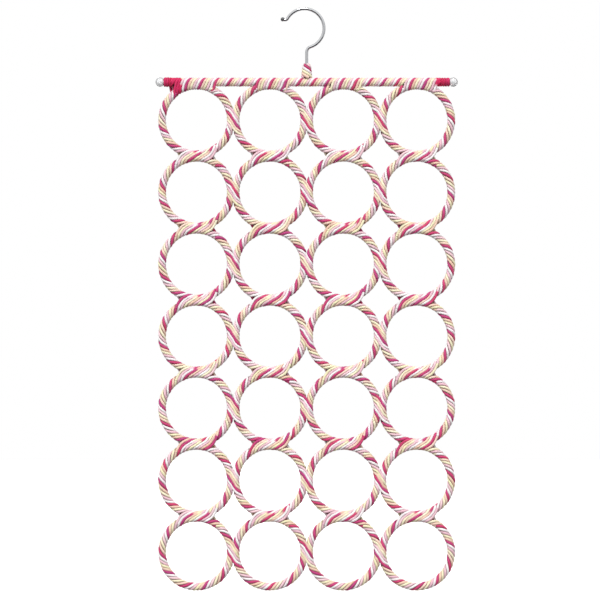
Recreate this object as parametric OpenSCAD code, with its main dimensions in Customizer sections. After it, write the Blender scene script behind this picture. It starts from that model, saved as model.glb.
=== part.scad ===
// Hanging organiser for scarves: a net of cord-wound rings on a corded rod, with a steel hook that turns.
// The origin is on the hook's turning axis, where its bend sits on a rail. +Z is up and the front faces -Y.

/* [Net] */
// Number of ring columns, an even number because the hook stands between the two middle ones
columns = 4; // [2:2:6]
// Number of ring rows
rows = 7; // [1:1:9]
// Radius of a ring, to the centre line of its core hoop
ring_r = 43.3; // [34:0.1:60]
// Diameter of the bar that a core hoop is bent from
core_d = 3.6; // [2.6:0.1:5]
// Clear space between the cores of two rings side by side
side_gap = 2.2; // [0.4:0.1:3]
// Clear space between the cores of two rings one above the other
row_gap = 0.4; // [0.3:0.1:2]

/* [Cord] */
// Thickness of one strand of the winding cord
cord_d = 3.05; // [2:0.05:4]
// Clearance between a winding and the bar inside it
cord_fit = 0.1; // [0.05:0.05:0.2]
// Gap between the end of one winding and the start of the next
seam_gap = 0.3; // [0.2:0.1:0.6]
// Clear space left between wound pieces when a row is folded at a right angle
fold_clear = 0.4; // [0.3:0.1:1]
// Longest run of a ring's winding before the next one starts, a little over half a turn of its strands
run_l = 17.2; // [12:0.1:20]
// Length of the lashing that ties two rings side by side
side_lash_l = 25.5; // [16:0.5:26]
// How far the two halves of a lashing run into each other at its ends
lash_bite = 0.25; // [0.2:0.05:1]
// How far a rod lashing runs on past the place where rod and ring come free of each other
rod_lash_extra = 2.2; // [0.5:0.1:2.4]

/* [Rod] */
// Diameter of the rod
rod_d = 4.5; // [4.5:0.1:7]
// Clear space between the rod and the cores of the top row
rod_gap = 0.4; // [0.3:0.1:2]
// Distance from the outer columns' centres to the centres of the end balls
rod_overhang = 45.65; // [42:0.05:60]
// Diameter of an end ball
ball_d = 11.5; // [9:0.5:16]
// Depth of an end ball's socket past its centre
ball_socket = 2; // [0:0.5:3]
// Radial clearance of the windings round the rod
rod_fit = 0.2; // [0.15:0.05:0.4]
// Gap between neighbouring turns of the stem's winding, and between runs of a ring's winding
turn_gap = 0.15; // [0.15:0.05:1]

/* [Hook] */
// Diameter of the hook's wire
wire_d = 3.8; // [3:0.1:5]
// Radius of the hook's bend, to the centre of the wire
hook_r = 24.6; // [20:0.1:35]
// How far the bend's centre lies to the left of the stem
hook_off = 2.8; // [0:0.1:6]
// Height of the bend's centre above the rod's axis
hook_rise = 67.7; // [60:0.1:90]
// Radius of the bend from the hook into the stem
neck_r = 7; // [4:0.5:10]
// Angle at which the bend ends, counted from the right
bend_end = 150; // [120:1:165]
// Radius of the turned-out tip
tip_r = 3.4; // [2.5:0.1:6]
// Angle through which the tip turns out
tip_turn = 75; // [30:1:90]
// Straight length at the tip
tip_l = 2.2; // [1:0.1:6]
// Diameter of the cap on the tip
cap_d = 5.2; // [5:0.1:8]
// Diameter of the rivet pin at the stem's foot
pin_d = 1.8; // [1.4:0.1:2]
// Diameter of the rivet's head
head_d = 2.7; // [2.3:0.1:2.9]
// Running clearance round the rivet, and between the stem and its ferrule
turn_fit = 0.08; // [0.03:0.01:0.1]
// Height of the ferrule round the stem
ferrule_h = 15.5; // [10:0.5:24]
// Diameter of the ferrule's base
ferrule_base_d = 7.4; // [6.5:0.1:10]
// Diameter of the ferrule's top
ferrule_top_d = 5.2; // [4.8:0.1:6.4]

/* [Hidden] */
$fn = 64;
letters = "abcdef";
core_r = core_d / 2;
winding_r = core_r + cord_fit + cord_d;
rod_winding_r = rod_d / 2 + rod_fit + cord_d;
col_pitch = 2 * ring_r + core_d + side_gap;
row_core_step = core_d + row_gap;
row_pitch = 2 * ring_r + row_core_step;
rod_core_step = rod_d / 2 + rod_gap + core_r;

// Heights, from the hook's seat down
hook_z = -sqrt(pow(hook_r - wire_d / 2, 2) - pow(hook_off, 2));
rod_z = hook_z - hook_rise;
function row_z(row) = rod_z - rod_core_step - ring_r - (row - 1) * row_pitch;
function col_x(col) = (col - (columns + 1) / 2) * col_pitch;

// Half width at which a ring has drawn away by d from the line that touches it
function half_width(d) = sqrt(2 * ring_r * d - d * d);
// Two wound rings this far apart at the fold stay clear of each other when a row folds at a right angle
wound_apart = 2 * winding_r + fold_clear;
fold_reach = sqrt(2 * pow(wound_apart, 2) - pow(row_core_step, 2)) / 2;
fold_half = half_width(fold_reach - row_core_step / 2);
lash_r = fold_reach + lash_bite;
rod_half = half_width(rod_winding_r + winding_r + fold_clear - rod_core_step) + rod_lash_extra;
// Half length of a rod lashing's sleeve on the rod, past the place where the part round the ring leaves the rod's cord
rod_sleeve_half = max(rod_half, sqrt(pow(ring_r + lash_r, 2) - pow(ring_r + rod_core_step - rod_winding_r, 2)));
function ring_angle(half) = asin(half / ring_r);
fold_angle = ring_angle(fold_half);
rod_angle = ring_angle(rod_half);
side_angle = ring_angle(side_lash_l / 2);
seam_angle = seam_gap / ring_r * 180 / PI;

// The centre of the turned-out tip's bend, and the angle at which that bend ends
tip_x = -hook_off + (hook_r + tip_r) * cos(bend_end);
tip_z = hook_z + (hook_r + tip_r) * sin(bend_end);
tip_from = bend_end - 180 - tip_turn;
// How far each bend of the wire stops short of a joint, and how much more the joint's ball measures across
joint_cut = 0.2;
joint_proud = 0.06;
// How far below the rod's axis the rivet's head can reach and stay inside the round rod
head_depth = sqrt(pow(rod_d / 2, 2) - pow(head_d / 2 + 2 * turn_fit, 2)) - turn_fit;

ball_x = col_x(columns) + rod_overhang;
ball_mouth = sqrt(pow(ball_d / 2, 2) - pow(rod_d / 2, 2));
rod_end = ball_x + ball_socket - seam_gap;

// Counts of rings of points in one turn of a strand, and of sides to a strand
turn_rings = 14;
strand_sides = 6;

ring_names = [for (row = [1:rows], col = [1:columns]) str("ring_", row, letters[col - 1], "_winding")];
core_names = [for (row = [1:rows]) str("row_", row, "_cores")];
side_names = [for (row = [1:rows]) str("row_", row, "_side_lashings")];
fold_names = [for (row = [1:1:rows - 1]) str("fold_lashings_", row, "_", row + 1)];

// Turns a shape drawn in X and Y to stand in the front plane, with its centre at x, z
module upright(x, z) {
    translate([x, 0, z]) rotate([90, 0, 0]) children();
}

// A round bar bent to radius r, from one angle to another
module bent_bar(r, bar_r, from, to) {
    rotate([0, 0, from]) rotate_extrude(angle = to - from) translate([r, 0]) circle(r = bar_r);
}

// Stands a shape that is drawn along +Z on the end of the tip's bend
module at_tip() {
    upright(tip_x, tip_z) rotate([0, 0, tip_from]) translate([tip_r, 0, 0]) rotate([90, 0, 0]) children();
}

// One strand wound left-handed round the Z axis, as rings of points. The radius runs from r0 to r1
function strand_points(z0, z1, r0, r1, turns) =
    let (n = ceil(turns * turn_rings))
    [for (k = [0:n])
        let (t = k / n, r = r0 + (r1 - r0) * t, a = -360 * turns * t,
             out = [cos(a), sin(a), 0],
             around = 2 * PI * r * turns,
             along = [around * sin(a), -around * cos(a), z1 - z0],
             across = cross(along, out) / norm(along))
        [for (s = [0:strand_sides - 1])
            let (b = 360 * s / strand_sides)
            [0, 0, z0 + (z1 - z0) * t] + out * (r + cord_d / 2 * cos(b)) + across * (cord_d / 2 * sin(b))]];

module strand(rings) {
    n = len(rings);
    m = strand_sides;
    sides = [for (k = [0:n - 2], s = [0:m - 1])
        let (a = k * m + s, b = k * m + (s + 1) % m)
        each [[a, b, b + m], [a, b + m, a + m]]];
    first = [for (s = [1:m - 2]) [0, s + 1, s]];
    last = [for (s = [1:m - 2]) [(n - 1) * m, (n - 1) * m + s, (n - 1) * m + s + 1]];
    polyhedron(points = [for (ring = rings) each ring], faces = concat(sides, first, last));
}

// The least distance between the points of a strand's own turns
function least_gap(rings) =
    min([for (i = [0:len(rings) - 1], j = [i + turn_rings / 2:1:len(rings) - 1], p = rings[i], q = rings[j])
        norm(p - q)]);

// A coil of one round strand on a tapered bar
module coil(z0, z1, inner0, inner1) {
    turns = (z1 - z0 - cord_d - turn_gap) / (cord_d + turn_gap);
    rings = strand_points(z0 + (cord_d + turn_gap) / 2, z1 - (cord_d + turn_gap) / 2,
                          inner0 + cord_d / 2, inner1 + cord_d / 2, turns);
    echo(str("least gap in a coil: ", least_gap(rings)));
    strand(rings);
}

// A winding round the rod from x0 to x1
module rod_sleeve(x0, x1) {
    translate([x0, 0, rod_z]) rotate([0, 90, 0]) difference() {
        cylinder(r = rod_winding_r, h = x1 - x0);
        translate([0, 0, -seam_gap]) cylinder(r = rod_d / 2 + rod_fit, h = x1 - x0 + 2 * seam_gap);
    }
}

// A length of the hook's wire bent to radius r, which ends just short of the joints at both ends
module wire_bend(x, z, r, from, to) {
    short = joint_cut / r * 180 / PI;
    upright(x, z) bent_bar(r, wire_d / 2, from + short, to - short);
    for (a = [from, to]) translate([x + r * cos(a), 0, z + r * sin(a)]) sphere(d = wire_d + joint_proud);
}

module hook_wire() {
    neck_z = sqrt(pow(hook_r + neck_r, 2) - pow(neck_r + hook_off, 2));
    bend_start = -atan2(neck_z, neck_r + hook_off);
    stem_top = hook_z - neck_z - joint_cut;
    stem_foot = rod_z + rod_d / 2 + seam_gap;
    head_top = rod_z - pin_d / 4;
    color("silver") {
        wire_bend(-hook_off, hook_z, hook_r, bend_start, bend_end);
        wire_bend(neck_r, hook_z - neck_z, neck_r, 180 + bend_start, 180);
        wire_bend(tip_x, tip_z, tip_r, tip_from, bend_end - 180);
        at_tip() translate([0, 0, joint_cut]) cylinder(d = wire_d, h = tip_l - joint_cut);
        translate([0, 0, stem_foot]) cylinder(d = wire_d, h = stem_top - stem_foot);
        translate([0, 0, head_top]) cylinder(d = pin_d, h = stem_foot - head_top);
        translate([0, 0, rod_z - head_depth]) cylinder(d = head_d, h = head_top - rod_z + head_depth);
    }
}

module hook_cap() {
    color("dimgray") at_tip() difference() {
        translate([0, 0, tip_l + turn_fit]) sphere(d = cap_d);
        translate([0, 0, tip_l - cap_d]) cylinder(r = wire_d / 2 + turn_fit, h = cap_d + turn_fit);
    }
}

module rod() {
    color("lightgray") difference() {
        translate([-rod_end, 0, rod_z]) rotate([0, 90, 0]) cylinder(d = rod_d, h = 2 * rod_end);
        translate([0, 0, rod_z - rod_d]) cylinder(r = pin_d / 2 + turn_fit, h = 2 * rod_d);
        translate([0, 0, rod_z - rod_d]) cylinder(r = head_d / 2 + turn_fit, h = rod_d - pin_d / 4 + turn_fit);
    }
}

module end_ball(side) {
    color("whitesmoke", 0.7) difference() {
        translate([side * ball_x, 0, rod_z]) sphere(d = ball_d);
        translate([side * (ball_x - ball_d), 0, rod_z]) rotate([0, side * 90, 0])
            cylinder(r = rod_d / 2 + turn_fit, h = ball_d + ball_socket);
    }
}

module stem_ferrule() {
    color("ivory") difference() {
        translate([0, 0, rod_z + rod_winding_r + seam_gap])
            cylinder(d1 = ferrule_base_d, d2 = ferrule_top_d, h = ferrule_h);
        translate([0, 0, rod_z]) cylinder(r = wire_d / 2 + turn_fit, h = 2 * ferrule_h + rod_winding_r);
    }
}

module collar_winding() {
    foot = rod_winding_r + seam_gap;
    color("palevioletred") translate([0, 0, rod_z])
        coil(foot, foot + ferrule_h, ferrule_base_d / 2 + rod_fit, ferrule_top_d / 2 + rod_fit);
}

module rod_winding() {
    clear = rod_sleeve_half + seam_gap;
    stem = wire_d / 2 + seam_gap;
    color("pink") for (col = [1:1:columns - 1]) {
        x0 = col_x(col) + clear;
        x1 = col_x(col + 1) - clear;
        if (col == columns / 2) {
            rod_sleeve(x0, -stem);
            rod_sleeve(stem, x1);
        } else rod_sleeve(x0, x1);
    }
}

module end_binding(side) {
    from = col_x(columns) + rod_sleeve_half + seam_gap;
    to = ball_x - ball_mouth - turn_gap;
    color("deeppink") rod_sleeve(side < 0 ? -to : from, side < 0 ? -from : to);
}

module row_cores(row) {
    color("burlywood") for (col = [1:columns]) upright(col_x(col), row_z(row))
        rotate_extrude() translate([ring_r, 0]) circle(r = core_r);
}

// The places where a ring is tied to a neighbour, as its angle and the half angle of the lashing there
function ties(row, col) = concat(
    col < columns ? [[0, side_angle]] : [],
    [[90, row == 1 ? rod_angle : fold_angle]],
    col > 1 ? [[180, side_angle]] : [],
    row < rows ? [[270, fold_angle]] : []);

// A stretch of wound cord round a core, hollow where the core runs through it, made in equal runs
module wound_arc(outer, from, to) {
    runs = ceil((to - from) * PI / 180 * ring_r / run_l);
    run_angle = (to - from) / runs;
    parting = turn_gap / ring_r * 180 / PI;
    for (k = [0:runs - 1]) rotate([0, 0, from + k * run_angle + parting / 2])
        rotate_extrude(angle = run_angle - parting) translate([ring_r, 0]) difference() {
            circle(r = outer);
            circle(r = core_r + cord_fit);
        }
}

module ring_winding(row, col) {
    list = ties(row, col);
    color(col % 2 == row % 2 ? "pink" : "palevioletred") upright(col_x(col), row_z(row))
    for (k = [0:len(list) - 1]) {
        next = k + 1 < len(list) ? list[k + 1] : list[0] + [360, 0];
        wound_arc(winding_r, list[k][0] + list[k][1] + seam_angle, next[0] - next[1] - seam_angle);
    }
}

// Where a core runs through a lashing
module core_channel(at, half) {
    bent_bar(ring_r, core_r + cord_fit, at - half - seam_angle, at + half + seam_angle);
}

module side_lashings(row) {
    color("mistyrose") for (col = [1:1:columns - 1]) difference() {
        union() {
            upright(col_x(col), row_z(row)) bent_bar(ring_r, winding_r, -side_angle, side_angle);
            upright(col_x(col + 1), row_z(row))
                bent_bar(ring_r, winding_r, 180 - side_angle, 180 + side_angle);
        }
        upright(col_x(col), row_z(row)) core_channel(0, side_angle);
        upright(col_x(col + 1), row_z(row)) core_channel(180, side_angle);
    }
}

module fold_lashings(row) {
    color("lightpink") for (col = [1:columns]) difference() {
        union() {
            upright(col_x(col), row_z(row)) bent_bar(ring_r, lash_r, 270 - fold_angle, 270 + fold_angle);
            upright(col_x(col), row_z(row + 1)) bent_bar(ring_r, lash_r, 90 - fold_angle, 90 + fold_angle);
        }
        upright(col_x(col), row_z(row)) core_channel(270, fold_angle);
        upright(col_x(col), row_z(row + 1)) core_channel(90, fold_angle);
    }
}

module rod_lashings() {
    color("hotpink") for (col = [1:columns]) difference() {
        union() {
            upright(col_x(col), row_z(1)) bent_bar(ring_r, lash_r, 90 - rod_angle, 90 + rod_angle);
            translate([col_x(col) - rod_sleeve_half, 0, rod_z]) rotate([0, 90, 0])
                cylinder(r = rod_winding_r, h = 2 * rod_sleeve_half);
        }
        upright(col_x(col), row_z(1)) core_channel(90, rod_angle);
        translate([col_x(col) - 2 * rod_sleeve_half, 0, rod_z]) rotate([0, 90, 0])
            cylinder(r = rod_d / 2 + cord_fit, h = 4 * rod_sleeve_half);
    }
}

hook_wire();
hook_cap();
rod();
end_ball(-1);  // end_ball_left
end_ball(1);  // end_ball_right
stem_ferrule();
collar_winding();
rod_winding();
end_binding(-1);  // end_binding_left
end_binding(1);  // end_binding_right
rod_lashings();
for (row = [1:rows]) row_cores(row);
for (row = [1:rows], col = [1:columns])
    ring_winding(row, col);
for (row = [1:rows]) side_lashings(row);
for (row = [1:1:rows - 1]) fold_lashings(row);
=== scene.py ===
"""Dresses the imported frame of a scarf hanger: cord-wound rings, tied in a net under a corded rod.

Metres throughout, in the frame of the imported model: +Z up, the front faces -Y. Each strand of cord is a tube
that follows its real path, so a strand runs on from ring to ring where two rings are tied together.
"""
from __future__ import annotations

import logging
import math
from dataclasses import dataclass, field
from enum import Enum

import bmesh
import bpy
import numpy as np
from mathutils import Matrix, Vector

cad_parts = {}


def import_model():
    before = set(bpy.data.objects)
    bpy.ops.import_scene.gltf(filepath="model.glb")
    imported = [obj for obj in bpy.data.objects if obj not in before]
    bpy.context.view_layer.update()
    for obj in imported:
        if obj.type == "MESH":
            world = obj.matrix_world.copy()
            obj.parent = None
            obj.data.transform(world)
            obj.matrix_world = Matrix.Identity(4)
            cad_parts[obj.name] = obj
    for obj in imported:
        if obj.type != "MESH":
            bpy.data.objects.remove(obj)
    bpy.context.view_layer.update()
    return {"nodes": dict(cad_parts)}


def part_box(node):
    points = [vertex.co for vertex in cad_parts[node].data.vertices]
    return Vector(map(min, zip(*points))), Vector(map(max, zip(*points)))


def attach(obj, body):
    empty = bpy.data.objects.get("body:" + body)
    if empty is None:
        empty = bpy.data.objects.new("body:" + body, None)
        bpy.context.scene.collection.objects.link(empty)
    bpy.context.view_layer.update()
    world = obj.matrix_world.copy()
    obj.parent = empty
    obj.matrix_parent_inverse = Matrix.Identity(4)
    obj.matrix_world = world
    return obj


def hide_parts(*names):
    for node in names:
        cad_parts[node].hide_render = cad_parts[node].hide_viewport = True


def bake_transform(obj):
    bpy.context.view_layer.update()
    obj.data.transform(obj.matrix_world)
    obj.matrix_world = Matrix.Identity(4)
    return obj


LOG = logging.getLogger("scarf_hanger")
MM = 0.001
QUARTER = math.pi / 2
TURN = 2 * math.pi


def linear(red: int, green: int, blue: int) -> np.ndarray:
    """Turns a colour as it looks on a screen into the linear values that shaders use.

    Args:
        red: Red, 0 to 255.
        green: Green, 0 to 255.
        blue: Blue, 0 to 255.

    Returns:
        The three linear values.
    """
    v = np.array([red, green, blue], float) / 255
    return np.where(v <= 0.04045, v / 12.92, ((v + 0.055) / 1.055) ** 2.4)


def smooth(x: np.ndarray) -> np.ndarray:
    """Runs smoothly from 0 to 1 as x does, and stays level outside."""
    x = np.clip(x, 0, 1)
    return x * x * (3 - 2 * x)


class Dye(Enum):
    """The strands' colours in the order in which they lie, each with the two hues it drifts between."""

    MAGENTA = ((212, 66, 112), (190, 66, 130))
    WHITE = ((253, 250, 249), (248, 239, 241))
    PINK = ((248, 214, 220), (234, 188, 202))
    CREAM = ((252, 243, 214), (244, 237, 194))
    PEACH = ((249, 220, 203), (240, 200, 176))
    CRIMSON = ((220, 28, 84), (208, 44, 104))

    @property
    def bold(self) -> float:
        """How much thicker than the others this dye's strand is."""
        return 1.1 if self is Dye.MAGENTA else 1.0

    def tint(self, drift: np.ndarray) -> np.ndarray:
        """Mixes the two hues.

        Args:
            drift: Share of the second hue at each point, 0 to 1.

        Returns:
            One linear colour for each point.
        """
        first, second = (linear(*hue) for hue in self.value)
        return first + np.outer(drift, second - first)


MIXED = (Dye.MAGENTA, Dye.WHITE, Dye.PINK, Dye.CREAM, Dye.PEACH)


def drift(place: np.ndarray, seed: float) -> np.ndarray:
    """A slow, repeatable wander between 0 and 1.

    Args:
        place: Distance along a strand, in metres.
        seed: Number that differs from strand to strand.

    Returns:
        The wander at each place.
    """
    wave = np.sin(place / 0.0093 + seed * 12.9) + 0.7 * np.sin(place / 0.0041 + seed * 37.1)
    return np.clip(0.5 + 0.32 * wave, 0, 1)


@dataclass
class Strand:
    """One strand's path: its points, with its radius, its colour and the way outwards at each of them."""

    points: np.ndarray
    radii: np.ndarray
    colours: np.ndarray
    outward: np.ndarray


@dataclass
class CordWork:
    """Strands that make up one piece of the object."""

    name: str
    strands: list[Strand] = field(default_factory=list)
    bevel_steps: int = 3

    def add(self, points: np.ndarray, radius: float | np.ndarray, colours: np.ndarray,
            middle: np.ndarray) -> None:
        """Adds a strand.

        Args:
            points: The points of its centre line.
            radius: Its radius, or one at each point.
            colours: Its linear colour at each point.
            middle: The point of the core that each point lies on.
        """
        radii = np.broadcast_to(np.asarray(radius, float), (len(points),)).copy()
        outward = points - middle
        outward /= np.linalg.norm(outward, axis=1)[:, None]
        self.strands.append(Strand(points, radii, colours, outward))

    def build(self, material: bpy.types.Material) -> bpy.types.Object:
        """Makes the piece's mesh, with the dye as a point attribute and a UV map that follows each strand.

        Args:
            material: The cord's material.

        Returns:
            The piece, at the origin.
        """
        curve = bpy.data.curves.new(self.name, "CURVE")
        curve.dimensions = "3D"
        curve.bevel_depth = 1.0
        curve.bevel_resolution = self.bevel_steps
        curve.twist_mode = "MINIMUM"
        for strand in self.strands:
            spline = curve.splines.new("POLY")
            spline.points.add(len(strand.points) - 1)
            places = np.column_stack([strand.points, np.ones(len(strand.points))])
            spline.points.foreach_set("co", places.ravel())
            spline.points.foreach_set("radius", strand.radii)
        route = bpy.data.objects.new(self.name + "_route", curve)
        bpy.context.scene.collection.objects.link(route)
        depsgraph = bpy.context.evaluated_depsgraph_get()
        mesh = bpy.data.meshes.new_from_object(route.evaluated_get(depsgraph), depsgraph=depsgraph)
        bpy.data.objects.remove(route)
        bpy.data.curves.remove(curve)
        mesh.name = self.name
        self._paint(mesh)
        self._close_ends(mesh)
        mesh.materials.clear()
        mesh.materials.append(material)
        piece = bpy.data.objects.new(self.name, mesh)
        bpy.context.scene.collection.objects.link(piece)
        return piece

    def _paint(self, mesh: bpy.types.Mesh) -> None:
        """Writes the dye, a mask for painted shade and the distance along each strand, in centimetres, to the
        mesh.

        The mask is 1 where a strand faces straight away from the core and 0 where it meets its neighbours; the
        cord's material paints shade into the grooves where it is low.
        """
        sides = 4 + 2 * self.bevel_steps
        colours = np.repeat(np.vstack([s.colours for s in self.strands]), sides, axis=0)
        dye = mesh.attributes.new("dye", "FLOAT_COLOR", "POINT")
        opaque = np.column_stack([colours, np.ones(len(colours))])
        dye.data.foreach_set("color", opaque.astype(np.float32).ravel())
        places = np.empty(len(mesh.vertices) * 3, dtype=np.float32)
        mesh.vertices.foreach_get("co", places)
        centres = np.repeat(np.vstack([s.points for s in self.strands]), sides, axis=0)
        outward = np.repeat(np.vstack([s.outward for s in self.strands]), sides, axis=0)
        offset = places.reshape(-1, 3) - centres
        # Mask for painted shade: low in the grooves where a strand meets its neighbours, high on its outer
        # face.
        facing = np.abs(np.einsum("ij,ij->i", offset, outward)) / np.linalg.norm(offset, axis=1)
        painted_shade_mask = mesh.attributes.new("painted_shade_mask", "FLOAT", "POINT")
        painted_shade_mask.data.foreach_set("value", facing.astype(np.float32))
        along = []
        for number, strand in enumerate(self.strands):
            steps = np.linalg.norm(np.diff(strand.points, axis=0), axis=1)
            along.append(np.concatenate([[0], np.cumsum(steps)]) * 100 + 7.3 * number)
        along = np.repeat(np.concatenate(along), sides)
        corners = np.empty(len(mesh.loops), dtype=np.int32)
        mesh.loops.foreach_get("vertex_index", corners)
        layer = mesh.uv_layers[0]
        uv = np.empty(len(mesh.loops) * 2, dtype=np.float32)
        layer.data.foreach_get("uv", uv)
        uv = uv.reshape(-1, 2)
        uv[:, 0] = along[corners]
        layer.data.foreach_set("uv", uv.ravel())

    def _close_ends(self, mesh: bpy.types.Mesh) -> None:
        """Caps the open ends of the strands."""
        bm = bmesh.new()
        bm.from_mesh(mesh)
        bmesh.ops.holes_fill(bm, edges=[e for e in bm.edges if e.is_boundary])
        bm.to_mesh(mesh)
        bm.free()


@dataclass(frozen=True)
class Bar:
    """A straight bar along X that cord is wound round."""

    x: float
    z: float

    def point(self, t: np.ndarray, around: np.ndarray | float, reach: np.ndarray | float) -> np.ndarray:
        """Places points near the bar.

        Args:
            t: Distance along the bar, from x.
            around: Angle round it, from up towards the front.
            reach: Distance from its centre line.

        Returns:
            The points.
        """
        t, around, reach = np.broadcast_arrays(t, around, reach)
        return np.column_stack([self.x + t, -reach * np.sin(around), self.z + reach * np.cos(around)])


@dataclass(frozen=True)
class Hoop:
    """A ring's core, followed from one angle up or down."""

    x: float
    z: float
    r: float
    at: float
    way: int

    def point(self, t: np.ndarray, around: np.ndarray | float, reach: np.ndarray | float,
              depth: np.ndarray | float | None = None) -> np.ndarray:
        """Places points near the core.

        Args:
            t: Distance along the core from the angle at, in the direction way.
            around: Angle round it, from its reference side towards the front.
            reach: Distance from its centre line in the plane of the ring.
            depth: Distance from it towards the front or the back, the same as reach if left out.

        Returns:
            The points.
        """
        t, around, reach, depth = np.broadcast_arrays(t, around, reach, reach if depth is None else depth)
        angle = self.at + self.way * t / self.r
        radius = self.r - self.way * reach * np.cos(around)
        return np.column_stack([self.x + radius * np.cos(angle), -depth * np.sin(around),
                                self.z + radius * np.sin(angle)])


@dataclass(frozen=True)
class Lay:
    """How the five strands lie on a ring, the same on every ring so that they run on between them."""

    ring_r: float = 43.3 * MM
    steps_in_half: int = 26
    strands: int = 5
    reach: float = 3.4 * MM
    radius: float = 1.63 * MM
    sample: float = 0.9 * MM

    @property
    def step(self) -> float:
        """Distance along the ring from one strand to the next."""
        return math.pi * self.ring_r / self.steps_in_half

    @property
    def pitch(self) -> float:
        """Distance along the ring in which a strand turns once."""
        return self.strands * self.step


LAY = Lay()


@dataclass(frozen=True)
class RingSpot:
    """One ring's place in the net, and the order in which its strands' colours lie."""

    row: int
    column: int
    x: float
    z: float

    @property
    def order(self) -> int:
        """1 where the colours follow each other anticlockwise, and -1 where they don't."""
        return 1 if (self.row + self.column) % 2 == 0 else -1

    def dye(self, place: float) -> Dye:
        """The dye of the strand that crosses the front at a place.

        Args:
            place: Distance anticlockwise along the core from its right-hand side.

        Returns:
            The strand's dye.
        """
        number = round(place / LAY.step - 0.25)
        return MIXED[(self.order * number + 2 * self.row) % len(MIXED)]

    def hoop(self, at: float, way: int) -> Hoop:
        """The ring's core, followed from the angle at in the direction way."""
        return Hoop(self.x, self.z, LAY.ring_r, at, way)


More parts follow.
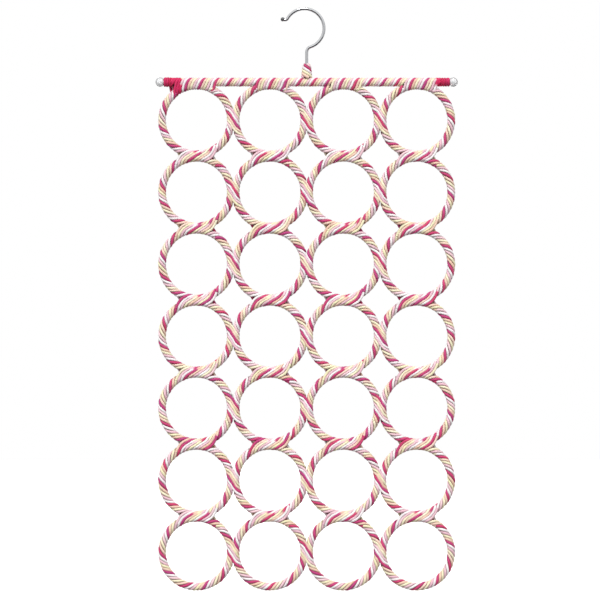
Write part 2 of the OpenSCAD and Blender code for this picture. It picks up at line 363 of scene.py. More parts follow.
@dataclass(frozen=True)
class Tie:
    """Two rings tied together: strands leave one core's front for the other's, and come back behind.

    The first ring is the left or the lower one. t runs down a side tie and to the right along a row tie.
    """

    first: RingSpot
    second: RingSpot
    first_at: float
    second_at: float
    crossings: int
    swell: float
    deepen: float
    first_wraps: bool = False

    @property
    def last_gate(self) -> float:
        """The last place where a strand leaves for the other ring."""
        return (self.crossings - 3.5) / 2 * LAY.step

    @property
    def half(self) -> float:
        """Half of the length of core that the tie takes in."""
        return self.last_gate + 2.5 * LAY.step + 0.5 * MM

    def _gates(self, n: int, ring: int) -> tuple[list[int], float]:
        """Follows a strand through the tie.

        Args:
            n: Number of the strand's first gate before the tie.
            ring: 0 if it comes in on the first ring, 1 on the second.

        Returns:
            The ring that it is on in each turn, and the place of its first gate.
        """
        gate = first = (n + 0.75) * LAY.step
        rings = [ring]
        low = -self.last_gate - 2.5 * LAY.step
        while gate + LAY.pitch < self.half + LAY.pitch:
            crosses = low - 0.1 * LAY.step < gate < self.last_gate + 0.1 * LAY.step
            rings.append(1 - rings[-1] if crosses else rings[-1])
            gate += LAY.pitch
        return rings, first

    def _dye(self, ring: int, gate: float, leaving: bool) -> Dye:
        """The dye of the strand that has this gate on one of the rings."""
        if ring == 0:
            at = self.first_at + (TURN if leaving and self.first_wraps else 0)
            return self.first.dye(LAY.ring_r * at - gate)
        return self.second.dye(LAY.ring_r * self.second_at + gate - LAY.pitch / 2)

    def strands(self, work: CordWork) -> None:
        """Adds the tie's ten strands to a piece."""
        hoops = (self.first.hoop(self.first_at, -1), self.second.hoop(self.second_at, 1))
        t = np.linspace(-self.half, self.half, round(2 * self.half / LAY.sample))
        base = math.floor(-self.half / LAY.step - 0.75)
        for ring in (0, 1):
            for n in range(base - LAY.strands + 1, base + 1):
                rings, first = self._gates(n, ring)
                points = self._path(t, rings, first, hoops)
                ends = [hoop.point(t, 0, 0) for hoop in hoops]
                between = ends[1] - ends[0]
                part = np.einsum("ij,ij->i", points - ends[0], between)
                part /= np.einsum("ij,ij->i", between, between)
                middle = ends[0] + np.clip(part, 0, 1)[:, None] * between
                before = self._dye(ring, first, False)
                last = min(int((self.half - first) // LAY.pitch), len(rings) - 1)
                after = self._dye(rings[last], first + last * LAY.pitch, True)
                hidden = self._behind(rings, first)
                share = smooth((t - hidden) / (3 * MM) + 0.5)[:, None]
                seed = self.first.row * 1.7 + self.first.column * 0.9 + n * 0.37 + ring
                wander = drift(t, seed)
                colours = before.tint(wander) * (1 - share) + after.tint(wander) * share
                bold = before.bold + (after.bold - before.bold) * share[:, 0]
                work.add(points, LAY.radius * bold * (0.96 + 0.08 * wander), colours, middle)

    def _behind(self, rings: list[int], first: float) -> float:
        """The place nearest the tie's middle where a strand passes behind, to change its colour unseen."""
        places = [first + k * LAY.pitch + (0 if ring else LAY.pitch / 2) for k, ring in enumerate(rings)]
        return min(places, key=abs)

    def _path(self, t: np.ndarray, rings: list[int], first: float, hoops: tuple[Hoop, Hoop]) -> np.ndarray:
        """Works out a strand's points.

        Args:
            t: Places along the tie.
            rings: The ring that the strand is on in each turn.
            first: The place of its first gate.
            hoops: The two cores.

        Returns:
            The points.
        """
        turn = np.clip(np.floor((t - first) / LAY.pitch).astype(int), 0, len(rings) - 2)
        share = (t - first - turn * LAY.pitch) / (LAY.pitch / 2)
        near = np.array(rings)[turn]
        far = np.array(rings)[turn + 1]
        pull = np.clip(1 - (t / (self.half - 1.6 * LAY.step)) ** 2, 0, 1) ** 2
        reach = LAY.reach + self.swell * pull
        depth = LAY.reach + self.deepen * pull
        lines = [h.point(t, QUARTER, reach, depth) for h in hoops]
        width = np.linalg.norm(lines[1] - lines[0], axis=1)
        half_arc = math.pi * (reach + depth) / 2
        spread = half_arc + width
        stays = (share < 1) & (near == far)
        outer = share >= 1
        even = half_arc / 2 + spread * np.where(outer, share - 1.5, share + 0.5) / 2
        plain = np.where(outer, half_arc * (share - 1), half_arc + width * share)
        q = plain + pull * (even - plain)
        start = np.where(outer, far, near)
        start = np.where(q < 0, 1 - start, start)
        q = np.where(q < 0, q + spread, q)
        start = np.where(q > spread, 1 - start, start)
        q = np.where(q > spread, q - spread, q)
        first_one = (start == 0)[:, None]
        around = np.where(start == 0, -QUARTER, QUARTER) - math.pi * q / half_arc
        arcs = [hoop.point(t, around, reach, depth) for hoop in hoops]
        arc = np.where(first_one, arcs[0], arcs[1])
        side = np.where(start == 0, QUARTER, -QUARTER)
        ends = [h.point(t, side, reach, depth) for h in hoops]
        part = np.clip((q - half_arc) / width, 0, 1)[:, None]
        across = (ends[1] - ends[0]) * part
        flat = np.where(first_one, ends[0] + across, ends[1] - across)
        points = np.where((q <= half_arc)[:, None], arc, flat)
        own = np.where(near == 0, QUARTER, -QUARTER) - math.pi * share
        kept = np.where((near == 0)[:, None], hoops[0].point(t, own, reach, depth),
                        hoops[1].point(t, own, reach, depth))
        return np.where(stays[:, None], kept, points)


@dataclass
class Net:
    """The rings of the hanger, with their windings and the ties between them."""

    rod_z: float
    rows: int = 7
    columns: int = 4
    side_step: float = 5.8 * MM
    row_step: float = 4.0 * MM
    rod_step: float = 4.45 * MM
    side_crossings: int = 5
    row_crossings: int = 9
    side_swell: float = 0.1 * MM
    side_depth: float = 0.5 * MM
    row_swell: float = 0.1 * MM
    row_depth: float = 1.8 * MM
    wander: float = 0.42
    sway_length: float = 8.5 * MM
    under_rod: float = 18 * MM
    under_left: float = 29 * MM
    under_right: float = 22 * MM
    seam: float = 0.8 * MM
    bend_room: float = 1 * MM

    def spot(self, row: int, column: int) -> RingSpot:
        """The place of a ring, counted from the top left."""
        x = (column - (self.columns + 1) / 2) * (2 * LAY.ring_r + self.side_step)
        z = self.rod_z - self.rod_step - LAY.ring_r - (row - 1) * (2 * LAY.ring_r + self.row_step)
        return RingSpot(row, column, x, z)

    def side_tie(self, row: int, column: int) -> Tie:
        """The tie between a ring and the next in its row."""
        return Tie(self.spot(row, column), self.spot(row, column + 1), TURN, math.pi,
                   self.side_crossings, self.side_swell, self.side_depth)

    def row_tie(self, row: int, column: int) -> Tie:
        """The tie between a ring and the one below it."""
        return Tie(self.spot(row + 1, column), self.spot(row, column), QUARTER, 3 * QUARTER,
                   self.row_crossings, self.row_swell, self.row_depth, first_wraps=True)

    def _top_ends(self, row: int, column: int) -> tuple[float, float]:
        """How far from a ring's top its winding starts, on its left and on its right."""
        if row > 1:
            return self.row_tie(1, 1).half, self.row_tie(1, 1).half
        left = self.under_left if column == 1 else self.under_rod
        right = self.under_right if column == self.columns else self.under_rod
        return left, right

    def ring_winding(self, row: int, column: int, material: bpy.types.Material) -> bpy.types.Object:
        """Winds one ring between its ties."""
        spot = self.spot(row, column)
        quarter = LAY.ring_r * QUARTER
        side = self.side_tie(1, 1).half
        fold = self.row_tie(1, 1).half
        left, right = self._top_ends(row, column)
        ties = [(quarter, left)]
        ties += [(2 * quarter, side)] if column > 1 else []
        ties += [(3 * quarter, fold)] if row < self.rows else []
        ties += [(4 * quarter, side)] if column < self.columns else []
        ties += [(5 * quarter, right)]
        work = CordWork(f"ring_{row}{'abcd'[column - 1]}_cord")
        hoop = spot.hoop(0, 1)
        for (start, near), (end, far) in zip(ties, ties[1:]):
            begin, stop = start + near - self.seam, end - far + self.seam
            s = np.linspace(begin, stop, max(8, round((stop - begin) / LAY.sample)))
            middle = hoop.point(s, 0, 0)
            ends = np.minimum(s - begin, stop - s)
            sway = np.sin(s / self.sway_length + row * 2.1 + column * 1.3)
            slack = self.wander * smooth(ends / LAY.pitch * 2) * sway
            radius = LAY.radius * (0.93 + 0.03 * smooth(ends / self.seam))
            for strand in range(LAY.strands):
                front = (strand + 0.25) * LAY.step
                around = QUARTER - TURN * (s - front) / LAY.pitch + slack
                wander = drift(s, row * 1.31 + column * 0.77 + strand * 0.53)
                dye = spot.dye(front)
                work.add(hoop.point(s, around, LAY.reach), dye.bold * radius + 0.08 * LAY.radius * wander,
                         dye.tint(wander), middle)
        node = f"ring_{row}{'abcd'[column - 1]}_winding"
        return mount(work.build(material), f"row_{row}", node)

    def side_ties(self, row: int, material: bpy.types.Material) -> bpy.types.Object:
        """Ties each ring of a row to the next."""
        work = CordWork(f"row_{row}_side_ties")
        for column in range(1, self.columns):
            self.side_tie(row, column).strands(work)
        return mount(work.build(material), f"row_{row}", f"row_{row}_side_lashings")

    def row_ties(self, row: int, material: bpy.types.Material) -> bpy.types.Object:
        """Ties a row of rings to the one below."""
        work = CordWork(f"row_ties_{row}_{row + 1}")
        for column in range(1, self.columns + 1):
            self.row_tie(row, column).strands(work)
        piece = work.build(material)
        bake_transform(piece)
        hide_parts(f"fold_lashings_{row}_{row + 1}")
        return piece

    def dress(self, material: bpy.types.Material) -> None:
        """Winds and ties all the rings."""
        for row in range(1, self.rows + 1):
            for column in range(1, self.columns + 1):
                report(self.ring_winding(row, column, material))
            report(self.side_ties(row, material))
            if row < self.rows:
                report(self.row_ties(row, material))


@dataclass
class CordedRod:
    """The rod's winding, which takes in the top of each ring it passes, and the plain bindings at its ends."""

    net: Net
    rod_z: float
    pitch: float = 17.6 * MM
    strands: int = 5
    reach: float = 3.95 * MM
    radius: float = 1.66 * MM
    plain_swell: float = 0.14 * MM
    ring_reach: float = 3.6 * MM
    lash_half: float = 20.4 * MM
    left_lash: float = 29.6 * MM
    right_lash: float = 23 * MM
    cut_half: float = 24.9 * MM
    lash_margin: float = 4.6 * MM
    left_plain: float = -157.6 * MM
    right_plain: float = 162.5 * MM
    left_stop: float = -172.5 * MM
    right_stop: float = 168 * MM
    binding_start: tuple[float, float] = (167 * MM, 165.5 * MM)
    binding_end: float = 180.0 * MM
    binding_radius: float = 1.6 * MM
    binding_reach: float = 3.95 * MM
    binding_bulge: tuple[float, float] = (0.75 * MM, 0.15 * MM)
    sample: float = 0.45 * MM

    def _strand(self, number: int) -> tuple[np.ndarray, np.ndarray, np.ndarray]:
        """Follows one strand from end to end of the rod.

        Args:
            number: The strand's number, from 0.

        Returns:
            Its places along the rod, its points and the points of the core beneath them.
        """
        length = self.right_stop - self.left_stop
        x = np.linspace(self.left_stop, self.right_stop, round(length / self.sample))
        shift = number * self.pitch / self.strands
        turn = np.floor((x - shift) / self.pitch)
        gate = shift + turn * self.pitch
        share = (x - gate) / (self.pitch / 2)
        points = Bar(0, self.rod_z).point(x, -QUARTER - math.pi * share, self.reach)
        middle = Bar(0, self.rod_z).point(x, 0, 0)
        for column in range(1, self.net.columns + 1):
            spot = self.net.spot(1, column)
            place = gate + self.pitch / 4 - spot.x
            low = self.left_lash if column == 1 else self.lash_half
            high = self.right_lash if column == self.net.columns else self.lash_half
            trip = (share < 1) & (place >= -low) & (place <= high)
            points[trip] = self._round_ring(spot, x[trip], share[trip])
            core = spot.z + np.sqrt(LAY.ring_r ** 2 - (x[trip] - spot.x) ** 2)
            middle[trip, 2] = np.clip(points[trip, 2], core, self.rod_z)
        return x, points, middle

    def _round_ring(self, spot: RingSpot, x: np.ndarray, share: np.ndarray) -> np.ndarray:
        """Leads a strand from the rod's back down round a ring's core and up to the rod's front.

        Args:
            spot: The ring.
            x: Places along the rod.
            share: How far along this way each place is, 0 to 1.

        Returns:
            The points.
        """
        reach = np.full(len(x), self.ring_reach)
        t = LAY.ring_r * np.arcsin((x - spot.x) / LAY.ring_r)
        hoop = spot.hoop(QUARTER, -1)
        bar = Bar(0, self.rod_z)
        rod_back, rod_front = bar.point(x, -QUARTER, self.reach), bar.point(x, QUARTER, self.reach)
        ring_back, ring_front = hoop.point(t, -QUARTER, reach), hoop.point(t, QUARTER, reach)
        drop = np.linalg.norm(rod_front - ring_front, axis=1)
        half_arc = math.pi * reach
        q = share * (2 * drop + half_arc)
        down = np.clip(q / drop, 0, 1)[:, None]
        up = np.clip((q - drop - half_arc) / drop, 0, 1)[:, None]
        arc = np.clip((q - drop) / half_arc, 0, 1)
        points = hoop.point(t, -QUARTER - math.pi * arc, reach)
        points = np.where(q[:, None] < drop[:, None], rod_back + (ring_back - rod_back) * down, points)
        rising = q[:, None] > (drop + half_arc)[:, None]
        return np.where(rising, ring_front + (rod_front - ring_front) * up, points)

    def _round_off(self, points: np.ndarray) -> np.ndarray:
        """Eases the corners of a strand's way, with its ends kept."""
        eased = points.copy()
        for _ in range(3):
            eased[1:-1] = (eased[:-2] + 2 * eased[1:-1] + eased[2:]) / 4
        return eased

    def _lash_zones(self, x: np.ndarray) -> np.ndarray:
        """Marks the places along the rod where its cord takes in a ring."""
        tied = np.zeros(len(x), bool)
        for column in range(1, self.net.columns + 1):
            away = x - self.net.spot(1, column).x
            low = self.left_lash + self.lash_margin if column == 1 else self.cut_half
            high = self.right_lash + self.lash_margin if column == self.net.columns else self.cut_half
            tied |= (away >= -low) & (away <= high)
        return tied

    def dress(self, material: bpy.types.Material, plain: bpy.types.Material) -> None:
        """Makes the rod's winding, its lashings and its end bindings.

        Args:
            material: The mixed cord's material.
            plain: The plain cord's material.
        """
        winding, lashing = CordWork("rod_cord"), CordWork("rod_ties")
        for number in range(self.strands):
            x, points, middle = self._strand(number)
            points = self._round_off(points)
            wander = drift(x, 3.3 + number * 0.61)
            dye = MIXED[(-number) % len(MIXED)]
            colours = dye.tint(wander)
            ends = np.maximum(x - self.right_plain, self.left_plain - x)
            bound = smooth(ends / (1.2 * MM) + 0.5)[:, None]
            colours = colours * (1 - bound) + Dye.CRIMSON.tint(wander) * bound
            tied = self._lash_zones(x)
            edges = np.flatnonzero(np.diff(tied.astype(int))) + 1
            for run in np.split(np.arange(len(x)), edges):
                if len(run) < 4:
                    continue
                run = np.arange(max(run[0] - 1, 0), min(run[-1] + 2, len(x)))
                work = lashing if tied[run[len(run) // 2]] else winding
                radius = self.radius * dye.bold * (0.97 + 0.06 * wander[run])
                radius += self.plain_swell * bound[run, 0]
                work.add(points[run], radius, colours[run], middle[run])
        report(mount(winding.build(material), "bar", "rod_winding"))
        piece = lashing.build(material)
        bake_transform(piece)
        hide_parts("rod_lashings")
        report(piece)
        for side, name in ((-1, "left"), (1, "right")):
            report(self._binding(side, name, plain))

    def _binding(self, side: int, name: str, material: bpy.types.Material) -> bpy.types.Object:
        """Winds one plain strand round an end of the rod.

        Args:
            side: -1 on the left, 1 on the right.
            name: The side's name.
            material: The cord's material.

        Returns:
            The binding.
        """
        start = self.binding_start[(side + 1) // 2]
        length = self.binding_end - start - 2 * self.binding_radius
        turns = 1 + length / (1.9 * self.binding_radius)
        t = np.linspace(0, 1, round(turns * 40))
        x = side * (start + self.binding_radius + length * np.clip(t * turns / (turns - 1), 0, 1))
        reach = self.binding_reach + self.binding_bulge[(side + 1) // 2] * np.sin(math.pi * t)
        bar = Bar(0, self.rod_z)
        work = CordWork(f"end_cord_{name}")
        work.add(bar.point(x, 1.2 - side * TURN * turns * t, reach), self.binding_radius,
                 Dye.CRIMSON.tint(drift(t * 60 * MM, 5.1 + side)), bar.point(x, 0, 0))
        return mount(work.build(material), "bar", f"end_binding_{name}")


@dataclass
class Collar:
    """The cone of cord round the foot of the hook's stem: five strands that climb most of a turn."""

    low: float
    high: float
    above: float = 1.6 * MM
    below: float = 0.8 * MM
    heights: tuple[float, ...] = (0, 0.85, 1)
    reaches: tuple[float, ...] = (5.2 * MM, 4.2 * MM, 2.8 * MM)
    radii: tuple[float, ...] = (2.0 * MM, 1.6 * MM, 1.1 * MM)
    turns: float = 0.85
    start: float = math.radians(150)

    def dress(self, material: bpy.types.Material) -> None:
        """Winds the collar."""
        work = CordWork("collar_cord")
        t = np.linspace(0, 1, 70)
        reach = np.interp(t, self.heights, self.reaches)
        radius = np.interp(t, self.heights, self.radii)
        z = self.low - self.below + (self.high + self.above - self.low + self.below) * t
        order = (Dye.MAGENTA, Dye.WHITE, Dye.CREAM, Dye.PEACH, Dye.PINK)
        for number, dye in enumerate(order):
            angle = self.start - TURN * (number / len(order) + self.turns * t)
            points = np.column_stack([reach * np.cos(angle), reach * np.sin(angle), z])
            middle = np.column_stack([0 * t, 0 * t, z])
            work.add(points, radius, dye.tint(drift(z, number * 0.7)), middle)
        report(mount(work.build(material), "bar", "collar_winding"))


class Sockets(Enum):
    """Kinds of socket on a node group."""

    VECTOR = "NodeSocketVector"
    VALUE = "NodeSocketFloat"
    COLOUR = "NodeSocketColor"


class Nodes:
    """A node tree that is built up call by call."""

    def __init__(self, tree: bpy.types.NodeTree) -> None:
        """Starts on an empty tree."""
        self.tree = tree
        tree.nodes.clear()

    def add(self, kind: str, inputs: dict | None = None, **settings: object) -> bpy.types.Node:
        """Adds a node.

        Args:
            kind: The node's type, without the ShaderNode in front.
            inputs: For each socket, by name or number, a value or an output to link.
            settings: The node's own properties.

        Returns:
            The node.
        """
        name = kind if kind.startswith("Node") else "ShaderNode" + kind
        node = self.tree.nodes.new(name)
        for key, value in settings.items():
            setattr(node, key, value)
        for key, value in (inputs or {}).items():
            if isinstance(value, bpy.types.NodeSocket):
                self.tree.links.new(value, node.inputs[key])
            else:
                node.inputs[key].default_value = value
        return node

    def math(self, operation: str, a: object, b: object = 0.0) -> bpy.types.NodeSocket:
        """A Math node's result."""
        return self.add("Math", {0: a, 1: b}, operation=operation).outputs[0]


def group(name: str, inputs: dict[str, tuple[Sockets, float]],
          outputs: dict[str, Sockets]) -> bpy.types.NodeTree:
    """Makes a node group with its sockets and its two end nodes.

    Args:
        name: The group's name.
        inputs: Kind and default value of each input.
        outputs: Kind of each output.

    Returns:
        The group.
    """
    tree = bpy.data.node_groups.new(name, "ShaderNodeTree")
    for key, (kind, value) in inputs.items():
        socket = tree.interface.new_socket(key, in_out="INPUT", socket_type=kind.value)
        if kind is Sockets.VALUE:
            socket.default_value = value
    for key, kind in outputs.items():
        tree.interface.new_socket(key, in_out="OUTPUT", socket_type=kind.value)
    return tree


class FibreGroup:
    """Fine lengthwise fibres of a soft strand: Shade is 0 in the furrows, and Height is for a bump."""

    def __init__(self) -> None:
        """Builds the group once."""
        given = {"Along": (Sockets.VECTOR, 0), "Fibres": (Sockets.VALUE, 9), "Twist": (Sockets.VALUE, 0.25),
                 "Stretch": (Sockets.VALUE, 1.3)}
        self.tree = group("strand_fibres", given, {"Shade": Sockets.VALUE, "Height": Sockets.VALUE})
        nodes = Nodes(self.tree)
        given = nodes.add("NodeGroupInput")
        parts = nodes.add("SeparateXYZ", {0: given.outputs["Along"]})
        along = nodes.math("MULTIPLY", parts.outputs[0], given.outputs["Stretch"])
        lean = nodes.math("MULTIPLY", parts.outputs[0], given.outputs["Twist"])
        across = nodes.math("MULTIPLY", nodes.math("ADD", parts.outputs[1], lean), given.outputs["Fibres"])
        place = nodes.add("CombineXYZ", {0: along, 1: across}).outputs[0]
        coarse = nodes.add("TexNoise", {"Vector": place, "Scale": 1.0, "Detail": 2.0, "Roughness": 0.55})
        fine = nodes.add("TexNoise", {"Vector": place, "Scale": 2.7, "Detail": 1.0, "Roughness": 0.5})
        both = nodes.math("ADD", nodes.math("MULTIPLY", coarse.outputs[0], 0.65),
                          nodes.math("MULTIPLY", fine.outputs[0], 0.35))
        shade = nodes.add("MapRange", {"Value": both, "From Min": 0.36, "From Max": 0.6}).outputs[0]
        nodes.add("NodeGroupOutput", {"Shade": shade, "Height": both})


class GrainGroup:
    """Fine unevenness of a hard surface: Mask runs from 0 to 1, and Height is for a bump."""

    def __init__(self) -> None:
        """Builds the group once."""
        self.tree = group("surface_grain", {"Place": (Sockets.VECTOR, 0), "Scale": (Sockets.VALUE, 400),
                                            "Detail": (Sockets.VALUE, 3)},
                          {"Mask": Sockets.VALUE, "Height": Sockets.VALUE})
        nodes = Nodes(self.tree)
        given = nodes.add("NodeGroupInput")
        noise = nodes.add("TexNoise", {"Vector": given.outputs["Place"], "Scale": given.outputs["Scale"],
                                       "Detail": given.outputs["Detail"], "Roughness": 0.6})
        mask = nodes.add("MapRange", {"Value": noise.outputs[0], "From Min": 0.35,
                                      "From Max": 0.65}).outputs[0]
        nodes.add("NodeGroupOutput", {"Mask": mask, "Height": noise.outputs[0]})


class Finish:
    """What every finish shares: a material with its output in place."""

    name: str

    def start(self) -> tuple[bpy.types.Material, Nodes, bpy.types.Node]:
        """Makes the material.

        Returns:
            The material, its nodes and its Principled shader.
        """
        material = bpy.data.materials.new(self.name)
        material.use_nodes = True
        nodes = Nodes(material.node_tree)
        shader = nodes.add("BsdfPrincipled")
        nodes.add("OutputMaterial", {"Surface": shader.outputs[0]})
        return material, nodes, shader

    def feed(self, nodes: Nodes, shader: bpy.types.Node, colour: bpy.types.NodeSocket,
             rough: bpy.types.NodeSocket, bump: bpy.types.Node) -> None:
        """Links a finish's colour, roughness and bump to its shader."""
        for key, socket in (("Base Color", colour), ("Roughness", rough), ("Normal", bump.outputs[0])):
            nodes.tree.links.new(socket, shader.inputs[key])


@dataclass(frozen=True)
class CordFinish(Finish):
    """Soft twisted cord, dyed strand by strand, with painted shade in the grooves between strands."""

    name: str
    fibres: bpy.types.NodeTree
    furrow: float = 0.75
    groove_shade: tuple[float, float, float] = (0.34, 0.23, 0.23)
    roughness: float = 0.62
    sheen: float = 0.12
    bump: float = 0.35

    def material(self) -> bpy.types.Material:
        """Builds the material."""
        material, nodes, shader = self.start()
        dye = nodes.add("Attribute", attribute_name="dye").outputs["Color"]
        along = nodes.add("UVMap", uv_map="UVMap").outputs[0]
        fibres = nodes.add("Group", {"Along": along, "Fibres": 9, "Twist": 0.25, "Stretch": 1.3},
                           node_tree=self.fibres)
        deep = nodes.add("Mix", {6: dye, 7: (self.furrow,) * 3 + (1,), 0: 1.0}, data_type="RGBA",
                         blend_type="MULTIPLY").outputs[2]
        shade = fibres.outputs["Shade"]
        colour = nodes.add("Mix", {0: shade, 6: deep, 7: dye}, data_type="RGBA").outputs[2]
        # Painted shade: a brownish tint darkens the colour in the grooves between neighbouring strands, where
        # the mask from the mesh is low.
        shadowed = nodes.add("Mix", {0: 1.0, 6: colour, 7: (*self.groove_shade, 1)}, data_type="RGBA",
                             blend_type="MULTIPLY").outputs[2]
        facing = nodes.add("Attribute", attribute_name="painted_shade_mask").outputs["Fac"]
        painted_shade_mask = nodes.add("MapRange", {"Value": facing, "From Min": 0.0, "From Max": 0.62},
                          interpolation_type="SMOOTHSTEP").outputs[0]
        colour = nodes.add("Mix", {0: painted_shade_mask, 6: shadowed, 7: colour}, data_type="RGBA").outputs[2]
        bump = nodes.add("Bump", {"Strength": self.bump, "Distance": 0.0004,
                                  "Height": fibres.outputs["Height"]})
        rough = nodes.add("MapRange", {"Value": shade, "To Min": self.roughness + 0.15,
                                       "To Max": self.roughness}).outputs[0]
        self.feed(nodes, shader, colour, rough, bump)
        shader.inputs["Specular IOR Level"].default_value = 0.3
        shader.inputs["Sheen Weight"].default_value = self.sheen
        shader.inputs["Sheen Roughness"].default_value = 0.5
        return material


@dataclass(frozen=True)
class HardFinish(Finish):
    """A metal, plastic, rubber or wooden surface with a fine grain."""

    name: str
    grain: bpy.types.NodeTree
    colour: tuple[float, float, float]
    second: tuple[float, float, float]
    stretch: tuple[float, float, float] = (1, 1, 1)
    scale: float = 400
    metallic: float = 0
    roughness: tuple[float, float] = (0.3, 0.4)
    bump: float = 0.1

    def material(self) -> bpy.types.Material:
        """Builds the material."""
        material, nodes, shader = self.start()
        place = nodes.add("TexCoord").outputs["Object"]
        place = nodes.add("Mapping", {"Vector": place, "Scale": self.stretch}).outputs[0]
        grain = nodes.add("Group", {"Place": place, "Scale": self.scale, "Detail": 3}, node_tree=self.grain)
        colour = nodes.add("Mix", {0: grain.outputs["Mask"], 6: (*self.colour, 1), 7: (*self.second, 1)},
                           data_type="RGBA").outputs[2]
        rough = nodes.add("MapRange", {"Value": grain.outputs["Mask"], "To Min": self.roughness[0],
                                       "To Max": self.roughness[1]}).outputs[0]
        bump = nodes.add("Bump", {"Strength": self.bump, "Distance": 0.0002,
                                  "Height": grain.outputs["Height"]})
        self.feed(nodes, shader, colour, rough, bump)
        shader.inputs["Metallic"].default_value = self.metallic
        return material


@dataclass(frozen=True)
class ClearFinish(Finish):
    """Clear moulded plastic with painted shade round its edge: its colour darkens where the surface turns away
    from the eye.
    """

    name: str
    grain: bpy.types.NodeTree
    colour: tuple[float, float, float] = (0.95, 0.955, 0.965)
    rim_shade: tuple[float, float, float] = (0.09, 0.093, 0.1)
    clear: float = 0.35
    ior: float = 1.49

    def material(self) -> bpy.types.Material:
        """Builds the material."""
        material, nodes, shader = self.start()
        place = nodes.add("TexCoord").outputs["Object"]
        grain = nodes.add("Group", {"Place": place, "Scale": 150, "Detail": 2}, node_tree=self.grain)
        # Painted shade: the base colour goes dark grey where the surface turns away from the eye.
        facing = nodes.add("LayerWeight", {"Blend": 0.5}).outputs["Facing"]
        share = nodes.add("MapRange", {"Value": facing, "From Min": 0.3, "From Max": 0.8},
                          interpolation_type="SMOOTHSTEP").outputs[0]
        colour = nodes.add("Mix", {0: share, 6: (*self.colour, 1), 7: (*self.rim_shade, 1)},
                           data_type="RGBA").outputs[2]
        rough = nodes.add("MapRange", {"Value": grain.outputs["Mask"], "To Min": 0.03,
                                       "To Max": 0.1}).outputs[0]
        bump = nodes.add("Bump", {"Strength": 0.05, "Distance": 0.0002, "Height": grain.outputs["Height"]})
        self.feed(nodes, shader, colour, rough, bump)
        shader.inputs["IOR"].default_value = self.ior
        shader.inputs["Transmission Weight"].default_value = self.clear
        return material


def mount(piece: bpy.types.Object, body: str, node: str) -> bpy.types.Object:
    """Fixes a piece to one body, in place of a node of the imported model.

    Args:
        piece: The piece.
        body: The body that it moves with.
        node: The node that it replaces.

    Returns:
        The piece.
    """
    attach(piece, body)
    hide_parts(node)
    return piece


def wear(frame: dict, node: str, material: bpy.types.Material) -> None:
    """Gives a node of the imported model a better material.

    Args:
        node: The node's name.
        material: The material.
    """
    item = frame["nodes"][node]
    if not item.material_slots:
        item.data.materials.append(material)
    for place in item.material_slots:
        place.material = material


def report(piece: bpy.types.Object) -> None:
    """Logs a piece with its number of faces."""
    LOG.info("%s: %d faces", piece.name, len(piece.data.polygons))


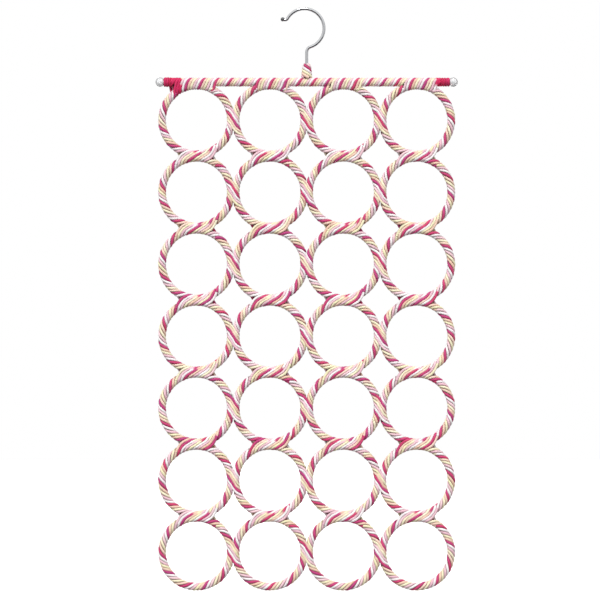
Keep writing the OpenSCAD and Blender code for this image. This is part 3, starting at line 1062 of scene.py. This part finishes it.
@dataclass(frozen=True)
class Studio:
    """White wall close behind, pale floor, soft light from above in front, and the photograph's camera.

    The wall is out of the camera's sight, so that it hides no ring that folds or turns past it.
    """

    image_w: float = 754.8 * MM
    centre_x: float = -8.4 * MM
    centre_z: float = -364.3 * MM
    distance: float = 2.6
    sensor: float = 36
    wall_y: float = 7.6 * MM
    floor_z: float = -0.8
    reach: float = 3.0
    wall_colour: float = 0.84
    wall_glow: float = 0.16
    wall_bounce: float = 0.3
    wall_gloss: float = 0.15
    sky_low: float = 0.05
    sky_high: float = 1.0
    sun_way: tuple[float, float, float] = (0.05, 0.7, -0.7)
    sun_angle: float = math.radians(14)
    sun_power: float = 2.3
    back_power: float = 2.0
    flag_at: tuple[float, float, float] = (0, -1.5, -0.5)

    def build(self) -> None:
        """Sets up the stage, the light and the camera."""
        self._plane("floor", (0, 0, self.floor_z), (0, 0, 0), self._pale("floor", False))
        wall = self._plane("wall", (0, self.wall_y, 0), (QUARTER, 0, 0), self._pale("wall", True))
        wall.visible_camera = False
        self._flag()
        self._world()
        self._sun("key", self.sun_way, self.sun_power)
        self._sun("back", (0, -1, 0), self.back_power).visible_glossy = False
        self._camera()
        bpy.context.scene.view_settings.view_transform = "Standard"

    def _plane(self, name: str, at: tuple[float, float, float], turned: tuple[float, float, float],
               material: bpy.types.Material) -> bpy.types.Object:
        """A large flat sheet of the stage.

        Args:
            name: The sheet's name.
            at: The place of its middle.
            turned: Its turn about each axis.
            material: Its material.

        Returns:
            The sheet.
        """
        mesh = bpy.data.meshes.new(name)
        bm = bmesh.new()
        bmesh.ops.create_grid(bm, x_segments=1, y_segments=1, size=self.reach)
        bm.to_mesh(mesh)
        bm.free()
        mesh.materials.append(material)
        sheet = bpy.data.objects.new(name, mesh)
        sheet.location = at
        sheet.rotation_euler = turned
        bpy.context.scene.collection.objects.link(sheet)
        return sheet

    def _seen(self, nodes: Nodes, kinds: tuple[str, ...]) -> bpy.types.NodeSocket:
        """1 for the kinds of ray named, and 0 for the others."""
        path = nodes.add("LightPath")
        seen = path.outputs[kinds[0]]
        for kind in kinds[1:]:
            seen = nodes.math("MAXIMUM", seen, path.outputs[kind])
        return seen

    def _pale(self, name: str, one_sided: bool) -> bpy.types.Material:
        """A surface that is white to the eye and still takes the object's shadow.

        Args:
            name: The material's name.
            one_sided: True if it can't be seen from behind and lets light from behind shine through.

        Returns:
            The material.
        """
        material = bpy.data.materials.new(name + "_pale")
        material.use_nodes = True
        nodes = Nodes(material.node_tree)
        seen = self._seen(nodes, ("Is Camera Ray", "Is Transmission Ray"))
        shade = nodes.add("MapRange", {"Value": seen, "To Min": self.wall_bounce,
                                       "To Max": self.wall_colour}).outputs[0]
        plain = nodes.add("BsdfDiffuse", {"Color": shade}).outputs[0]
        gloss = nodes.math("MULTIPLY", self._seen(nodes, ("Is Glossy Ray",)), self.wall_gloss)
        level = nodes.math("ADD", nodes.math("MULTIPLY", seen, self.wall_glow), gloss)
        glow = nodes.add("Emission", {"Color": (1, 1, 1, 1), "Strength": level}).outputs[0]
        surface = nodes.add("AddShader", {0: plain, 1: glow}).outputs[0]
        if one_sided:
            behind = nodes.add("NewGeometry").outputs["Backfacing"]
            gone = nodes.math("MAXIMUM", behind, self._seen(nodes, ("Is Shadow Ray",)))
            clear = nodes.add("BsdfTransparent").outputs[0]
            surface = nodes.add("MixShader", {0: gone, 1: surface, 2: clear}).outputs[0]
        nodes.add("OutputMaterial", {"Surface": surface})
        return material

    def _flag(self) -> None:
        """A dark card below the camera that only polished surfaces reflect, as used to photograph metal."""
        material = bpy.data.materials.new("flag_dark")
        material.use_nodes = True
        nodes = Nodes(material.node_tree)
        dark = nodes.add("Emission", {"Color": (0.03, 0.03, 0.035, 1), "Strength": 1.0})
        nodes.add("OutputMaterial", {"Surface": dark.outputs[0]})
        card = self._plane("flag", self.flag_at, (0, 0, 0), material)
        card.scale = (0.5, 0.48, 1)
        card.visible_camera = card.visible_diffuse = card.visible_shadow = card.visible_transmission = False

    def _world(self) -> None:
        """White all round to the eye, and a fill light on the object that is brighter from above."""
        world = bpy.data.worlds.new("studio")
        bpy.context.scene.world = world
        world.use_nodes = True
        nodes = Nodes(world.node_tree)
        way = nodes.add("SeparateXYZ", {0: nodes.add("TexCoord").outputs["Generated"]}).outputs["Z"]
        fill = nodes.add("MapRange", {"Value": way, "From Min": -0.6, "From Max": 0.6,
                                      "To Min": self.sky_low, "To Max": self.sky_high}).outputs[0]
        seen = self._seen(nodes, ("Is Camera Ray", "Is Transmission Ray"))
        level = nodes.add("MapRange", {"Value": seen, "To Min": fill, "To Max": 1.0}).outputs[0]
        sky = nodes.add("Background", {"Color": (1, 1, 1, 1), "Strength": level})
        nodes.add("OutputWorld", {"Surface": sky.outputs[0]})

    def _sun(self, name: str, way: tuple[float, float, float], power: float) -> bpy.types.Object:
        """A broad, even light.

        Args:
            name: The lamp's name.
            way: The direction in which it shines.
            power: Its strength.

        Returns:
            The lamp.
        """
        data = bpy.data.lights.new(name, "SUN")
        data.energy = power
        data.angle = self.sun_angle
        lamp = bpy.data.objects.new(name, data)
        lamp.rotation_euler = Vector(way).to_track_quat("-Z", "Y").to_euler()
        bpy.context.scene.collection.objects.link(lamp)
        return lamp

    def _camera(self) -> None:
        """The photograph's view: straight on, with the frame as wide as the photograph's at the object."""
        data = bpy.data.cameras.new("camera")
        data.sensor_width = self.sensor
        data.lens = self.sensor * self.distance / self.image_w
        camera = bpy.data.objects.new("camera", data)
        camera.location = (self.centre_x, -self.distance, self.centre_z)
        camera.rotation_euler = (QUARTER, 0, 0)
        bpy.context.scene.collection.objects.link(camera)
        bpy.context.scene.camera = camera


def main() -> None:
    """Loads the frame, dresses it and sets up the studio."""
    logging.basicConfig(level=logging.INFO, format="%(name)s %(message)s")
    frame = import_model()
    grain, fibres = GrainGroup().tree, FibreGroup().tree
    cord = CordFinish("cord_mixed", fibres).material()
    plain = CordFinish("cord_plain", fibres, furrow=0.5, bump=0.45).material()
    steel = HardFinish("hook_steel", grain, (0.8, 0.81, 0.83), (0.7, 0.71, 0.73), scale=900, metallic=1,
                       roughness=(0.08, 0.16), bump=0.03).material()
    rubber = HardFinish("cap_rubber", grain, (0.075, 0.075, 0.08), (0.11, 0.11, 0.115), scale=1500,
                        roughness=(0.4, 0.55), bump=0.2).material()
    coated = HardFinish("rod_coating", grain, (0.82, 0.81, 0.79), (0.78, 0.77, 0.74), stretch=(0.2, 1, 1),
                        roughness=(0.3, 0.42)).material()
    acrylic = ClearFinish("ball_acrylic", grain).material()
    moulded = HardFinish("ferrule_plastic", grain, (0.83, 0.79, 0.69), (0.78, 0.74, 0.64),
                         roughness=(0.45, 0.55)).material()
    cane = HardFinish("core_cane", grain, (0.55, 0.36, 0.18), (0.38, 0.23, 0.1), stretch=(0.3, 3, 0.3),
                      roughness=(0.5, 0.7), bump=0.3).material()
    wear(frame, "hook_wire", steel)
    wear(frame, "hook_cap", rubber)
    wear(frame, "rod", coated)
    wear(frame, "stem_ferrule", moulded)
    for side in ("left", "right"):
        wear(frame, f"end_ball_{side}", acrylic)
    rod_low, rod_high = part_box("rod")
    rod_z = (rod_low[2] + rod_high[2]) / 2
    net = Net(rod_z)
    for row in range(1, net.rows + 1):
        wear(frame, f"row_{row}_cores", cane)
    net.dress(cord)
    CordedRod(net, rod_z).dress(cord, plain)
    collar_low, collar_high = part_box("collar_winding")
    Collar(collar_low[2], collar_high[2]).dress(cord)
    Studio().build()


if __name__ == "__main__":
    main()
